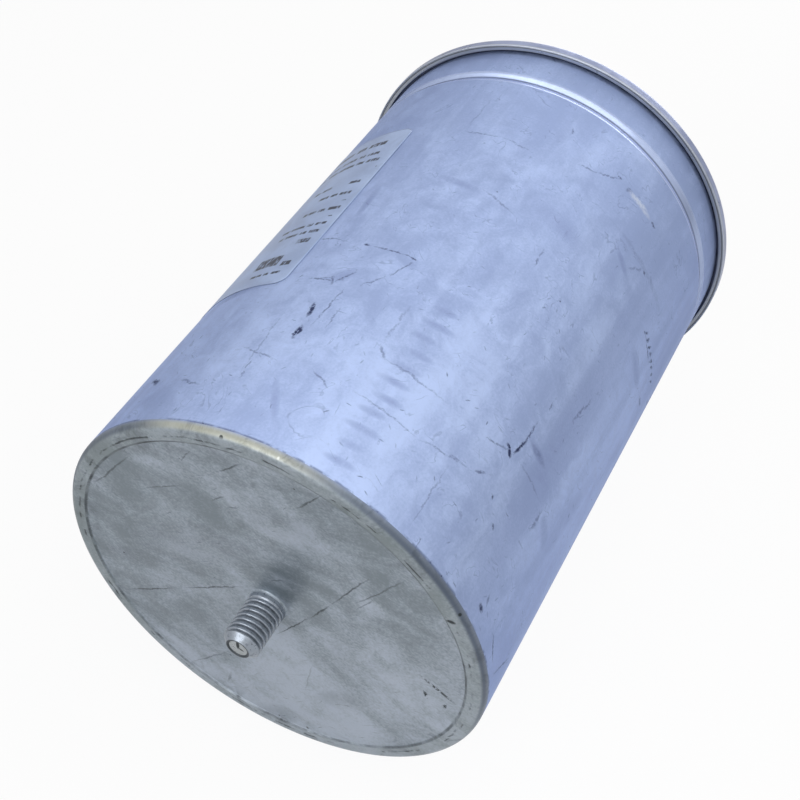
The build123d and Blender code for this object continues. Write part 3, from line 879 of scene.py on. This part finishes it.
def stud_finish():
    """Rolled thread: bright crests and root, painted shade in the grooves, spotted cone, pale face in a
    dark rim.
    """
    stud = Finish("can_stud", metallic=0.7)
    radius = axis_distance(stud)
    from_tip = (stud.z - STUD_TIP) / MM
    from_rim = radius - FACE_RADIUS / MM
    grain = stud.noise(1.2 * MM, 3.0, 0.6)
    colour = stud.blend(grain, STUD_DARK, STUD_LIGHT)
    # Painted shade in the thread's grooves, along the threaded shank
    groove = stud.ramp(radius - STUD_RADIUS / MM + (grain - 0.5) * 0.3, -0.9, -0.35, 1.0, 0.0)
    shank = stud.ramp(from_tip, 1.9, 2.3)
    end = stud.ramp(from_tip, 0.4, 0.5, 1.0, 0.0)
    inner = stud.ramp(from_rim, -0.5, -0.1, 1.0, 0.0) * end
    rim = stud.ramp(abs(from_rim - 0.1), 0.25, 0.55, 1.0, 0.0) * end
    colour = stud.blend(inner * 0.65, colour, FACE_PALE)
    nicks = stud.strokes(flat_place(stud), FACE_NICKS) * inner
    spots = (1 - shank) * stud.ramp(grain, 0.6, 0.72) * 0.4
    dirt_and_shade = clamped(groove * shank * 0.34 + rim * 0.85 + nicks + spots)
    colour = stud.blend(dirt_and_shade, colour, STUD_GREASE_AND_SHADE)
    stud.wear(colour, stud.ramp(grain, 0.3, 0.7, 0.26, 0.4) + dirt_and_shade * 0.2)
    stud.bump(grain, 0.18, 0.08 * MM)
    return stud.material


def seam_finish():
    """Rolled seam: the wall's satin, greyer, with fine rolling lines, a painted highlight on its lower
    edge, a grey lip painted lighter for light on its underside, with a dark fold, painted shade in the
    gap behind it, and dark specks."""
    seam = Finish("can_seam", metallic=0.55)
    radius = axis_distance(seam)
    from_edge = radius - SEAM_RADIUS / MM
    from_wall = radius - CAN_RADIUS / MM
    above = (seam.z - LIP_BOTTOM) / MM
    patch = seam.noise(11 * MM, 5.0, 0.6, 0.8)
    lines = seam.noise(0.5 * MM, 2.0, 0.5, 0.0, seam.stretched(0.02, 1.0))
    tone = seam.ramp(patch + (lines - 0.5) * 0.4, 0.3, 0.7)
    colour = seam.blend(tone, SEAM_DARK, SEAM_LIGHT)
    # The lip's underside painted a lighter grey, for light on it
    low = seam.ramp(above, 0.45, 0.7, 1.0, 0.0)
    colour = seam.blend(low * 0.8, colour, LIP_GREY)
    # Painted highlight on the lip's rounded lower edge
    edge = seam.ramp(from_edge, -0.55, -0.4) * seam.ramp(above, 0.1, 0.3, 0.6, 0.0)
    colour = seam.blend(edge, colour, LIP_EDGE_HIGHLIGHT)
    # Painted shade in the gap behind the lip
    gap = seam.ramp(from_wall, 0.6, 1.3, 1.0, 0.0) * seam.ramp(from_wall, -0.5, -0.1)
    fold = seam.ramp(abs(from_edge + 0.8), 0.1, 0.3, 0.75, 0.0) * low
    grime_and_shade = clamped(gap * 0.75 + fold + seam.specks(6 * MM, 0.4 * MM, 0.2) * 0.6)
    colour = seam.blend(grime_and_shade, colour, SEAM_GRIME_AND_SHADE)
    seam.wear(colour, seam.ramp(patch, 0.3, 0.7, 0.26, 0.4))
    seam.bump(lines * 0.4 + patch * 0.5, 0.2, 0.05 * MM)
    return seam.material


def lid_finish():
    """Lid: pressed aluminium, a little dusty, with turned rub marks."""
    lid = Finish("can_lid", metallic=0.6)
    patch = lid.noise(16 * MM, 5.0, 0.62, 0.8)
    outward = lid.add("CombineXYZ", None, {0: axis_distance(lid) * MM})
    turns = lid.noise(0.9 * MM, 2.0, 0.5, 0.0, outward)
    tone = lid.ramp(patch + (turns - 0.5) * 0.35, 0.3, 0.7)
    colour = lid.blend(tone, LID_DARK, LID_LIGHT)
    colour = lid.blend(lid.specks(6 * MM, 0.4 * MM, 0.2) * 0.5, colour, LID_SPECK)
    lid.wear(colour, lid.ramp(patch, 0.3, 0.7, 0.34, 0.48))
    lid.bump(patch + turns * 0.15, 0.25, 0.05 * MM)
    return lid.material


def bar_row(level, height, left, right):
    """Plain bars of unequal length in one row, set from the right end to the left one."""
    bars = []
    end = right
    while end - left > height:
        start = max(end - height * BAR_SHARES[len(bars) % len(BAR_SHARES)], left)
        bars.append((start, end, level - height / 2, level + height / 2))
        end = start - height * BAR_GAP_SHARE
    return bars


def film_finish():
    """Label film: satin, a little greener than the wall, with a thin dark edge of painted shade and
    soiling along its cut edge, and rows of plain bars. The edge is found by the distance to a rectangle
    with round corners."""
    film = Finish("label_print", metallic=0.45)
    flat = wall_place(film)
    patch = film.noise(14 * MM, 4.0, 0.6, 0.6)
    grain = film.noise(0.8 * MM, 2.0, 0.6)
    tone = film.ramp(patch + (grain - 0.5) * 0.2, 0.3, 0.7)
    colour = film.blend(tone, FILM_DARK, FILM_LIGHT)
    middle = (LABEL_TURN * CAN_RADIUS / MM, (LABEL_LOW + LABEL_HIGH) / 2 / MM, 0)
    inner = (LABEL_WIDTH / 2 - LABEL_CORNER, (LABEL_HIGH - LABEL_LOW) / 2 - LABEL_CORNER, 0)
    corner = tuple(size / MM for size in inner)
    offset = film.vector("ABSOLUTE", film.vector("SUBTRACT", flat, middle))
    outside = film.vector("MAXIMUM", film.vector("SUBTRACT", offset, corner), (0, 0, 0))
    border = film.vector("LENGTH", outside, output="Value") - LABEL_CORNER / MM
    # Thin dark edge: painted shade of the film's cut edge, with soiling
    edge = film.ramp(border, -0.4, -0.1) * film.ramp(patch, 0.4, 0.6, 0.15, 0.5)
    boxes = [bar for row in BAR_ROWS for bar in bar_row(*row)]
    blocks = film.noise(0.8, 1.0, 0.5, 0.0, film.vector("MULTIPLY", flat, (1.0, 0.27, 0.0)))
    ink = film.bars(wavered(film, flat, 1.2, 0.5), boxes) * film.ramp(blocks, 0.40, 0.50, 0.3, 0.97)
    colour = film.blend(math_node("MAXIMUM", edge, ink), colour, FILM_INK)
    colour = film.blend(film.specks(8 * MM, 0.5 * MM, 0.25) * 0.6, colour, FILM_SPECK)
    film.wear(colour, film.ramp(patch, 0.3, 0.7, 0.36, 0.46))
    film.bump(patch, 0.2, 0.05 * MM)
    return film.material


def moulded_finish(name, dark, light):
    """Moulded plastic: fine spark-eroded grain and a slight cloud in its colour."""
    plastic = Finish(name)
    cloud = plastic.noise(9 * MM, 4.0, 0.6)
    grain = plastic.noise(0.35 * MM, 3.0, 0.6)
    plastic.wear(plastic.blend(cloud, dark, light), plastic.ramp(grain, 0.3, 0.7, 0.45, 0.62))
    plastic.bump(grain, 0.35, 0.03 * MM)
    return plastic.material


def metal_finish(name, dark, light, roughness):
    """Machined metal: fine cutting lines along Y and a little tarnish."""
    metal = Finish(name, metallic=0.9)
    drawn = metal.vector("MULTIPLY", metal.place, (1.0, 0.05, 1.0))
    lines = metal.noise(0.25 * MM, 2.0, 0.5, 0.0, drawn)
    tarnish = metal.noise(5 * MM, 4.0, 0.6, 0.6)
    metal.wear(metal.blend(tarnish, dark, light), lines * 0.12 + roughness)
    metal.bump(lines, 0.2, 0.02 * MM)
    return metal.material


def ceramic_finish():
    """Bare ceramic: chalky, with fine pores."""
    ceramic = Finish("module_body")
    cloud = ceramic.noise(7 * MM, 4.0, 0.6)
    pores = ceramic.specks(1.1 * MM, 0.18 * MM, 0.4)
    colour = ceramic.blend(cloud, CERAMIC_DARK, CERAMIC_LIGHT)
    colour = ceramic.blend(pores * 0.35, colour, CERAMIC_PORE)
    ceramic.wear(colour, ceramic.ramp(cloud, 0.3, 0.7, 0.6, 0.75))
    ceramic.bump(cloud - pores, 0.3, 0.05 * MM)
    return ceramic.material


def floor_plane():
    """Square plane whose normal is the lying can's up, just clear of the seam's far side."""
    across = Vector((0, 0, 1)).cross(FLOOR_UP)
    middle = FLOOR_UP * -(SEAM_RADIUS + FLOOR_GAP)
    half = FLOOR_SIZE / 2
    signs = ((-1, -1), (1, -1), (1, 1), (-1, 1))
    points = np.array([middle + across * (a * half) + Vector((0, 0, b * half)) for a, b in signs])
    plane = new_piece("floor", points, [[0, 1, 2, 3]])
    return plane


def floor_material():
    """Pale paper that is near white to the camera, keeps its shadow, and isn't there from behind."""
    paper = Finish("floor_paper", base_color=(0.82, 0.82, 0.82, 1), roughness=0.9)
    glow = paper.add("Emission", None, {"Color": (1, 1, 1, 1), "Strength": 1.0})
    seen = paper.add("LightPath", output="Is Camera Ray")
    mirrored = paper.add("LightPath", output="Is Glossy Ray")
    behind = paper.add("NewGeometry", output="Backfacing")
    share = seen * 0.93 + mirrored * 0.25
    white = paper.add("MixShader", None, {0: share, 1: Value(paper.shader.outputs[0]), 2: glow})
    hidden = clamped(1 - seen - mirrored + behind)
    clear = paper.add("BsdfTransparent")
    whole = paper.add("MixShader", None, {0: hidden, 1: white, 2: clear})
    feed(paper.tree.nodes["Material Output"].inputs["Surface"], whole)
    return paper.material


def studio_world():
    """White to the camera, white above and dimmer below and on one dark side to mirror rays, and a soft
    fill to the rest."""
    world = bpy.data.worlds.new("studio")
    world.use_nodes = True
    sky = Nodes(world.node_tree)
    way = sky.add("TexCoord", output="Generated")
    seen = sky.add("LightPath", output="Is Camera Ray")
    mirrored = math_node("MAXIMUM", sky.add("LightPath", output="Is Glossy Ray"),
                         sky.add("LightPath", output="Is Transmission Ray"))
    shown = sky.facing(way, tuple(FLOOR_UP), -0.5, 0.5, SKY_LOW, 1.0)
    shown = shown * sky.facing(way, DARK_SIDE, 0.55, 0.9, 1.0, DARK_SHARE)
    background = sky.tree.nodes["Background"]
    feed(background.inputs["Strength"], seen + mirrored * shown + (1 - seen - mirrored) * SKY_FILL)
    feed(background.inputs["Color"], (1, 1, 1, 1))
    return world


def soft_lamp(name, turn, reach, rise, width, height, power, shown):
    """Flat lamp facing the can's middle, at a turn about its axis, a reach from it and a rise. It shows
    in all light, or only as matt light, with the gloss left to the white world, or only as gloss."""
    lamp = bpy.data.lights.new(name, "AREA")
    lamp.shape = "RECTANGLE"
    lamp.size = width
    lamp.size_y = height
    lamp.energy = power
    holder = bpy.data.objects.new(name, lamp)
    away = Vector((reach * math.cos(math.radians(turn)), reach * math.sin(math.radians(turn)), rise))
    holder.location = CAN_MIDDLE + away
    holder.rotation_mode = "QUATERNION"
    holder.rotation_quaternion = (-away).to_track_quat("-Z", "Y")
    holder.visible_diffuse = shown != "gloss"
    holder.visible_glossy = shown != "matt"
    scene.collection.objects.link(holder)


def photo_camera():
    """Camera at its place, facing its aim, turned by its roll about the line of sight."""
    camera = bpy.data.objects.new("camera", bpy.data.cameras.new("camera"))
    scene.collection.objects.link(camera)
    camera.location = CAMERA_PLACE
    aim = (CAMERA_AIM - CAMERA_PLACE).to_track_quat("-Z", "Y")
    camera.rotation_mode = "QUATERNION"
    camera.rotation_quaternion = aim @ Quaternion((0, 0, 1), CAMERA_ROLL)
    camera.data.lens = CAMERA_LENS
    camera.data.sensor_width = CAMERA_SENSOR
    camera.data.clip_start = CAMERA_NEAR
    return camera


# Can and label
can = can_skin()
for finish in (stud_finish, base_finish, wall_finish, seam_finish, lid_finish):
    can.data.materials.append(finish())
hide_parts("sealed_can")
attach(can, "root")

label = label_sheet()
label.data.materials.append(film_finish())
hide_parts("label_film")
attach(label, "root")

# Terminal head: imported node, piece, slot, width of its rounded edges, and material
brass = metal_finish("lug_metal", shade(150, 122, 66), shade(196, 166, 96), 0.3)
EASED = [
    ("terminal_seal", "seal_ring", "seal_rubber", 0.25 * MM,
     moulded_finish("seal_gum", shade(26, 26, 27), shade(36, 36, 37))),
    ("terminal_block", "block_body", "block_moulding", 0.45 * MM,
     moulded_finish("block_plastic", shade(40, 41, 43), shade(52, 53, 55))),
    ("terminal_cover", "cover_shell", "cover_moulding", 0.4 * MM,
     moulded_finish("cover_plastic", shade(48, 49, 52), shade(60, 61, 64))),
    ("clamp_screws", "clamp_screw_set", "screw_steel", 0.2 * MM,
     metal_finish("screw_zinc", shade(150, 150, 146), shade(190, 190, 184), 0.28)),
    ("discharge_module", "module_case", "module_ceramic", 0.5 * MM, ceramic_finish()),
    ("discharge_blades", "module_blades", "blade_brass", 0.08 * MM,
     metal_finish("blade_tin", shade(176, 172, 156), shade(206, 202, 186), 0.3)),
]
EASED += [(f"terminal_lug_{pole}", f"wire_lug_{pole}", "lug_brass", 0.3 * MM, brass)
          for pole in (1, 2, 3)]
for node, name, slot, width, material in EASED:
    piece = eased_copy(node, name, width)
    piece.data.materials.clear()
    piece.data.materials.append(material)

# Stage, light and camera
floor = floor_plane()
floor.data.materials.append(floor_material())
scene.world = studio_world()
for lamp in LAMPS:
    soft_lamp(*lamp)
scene.camera = photo_camera()
scene.view_settings.view_transform = "Standard"
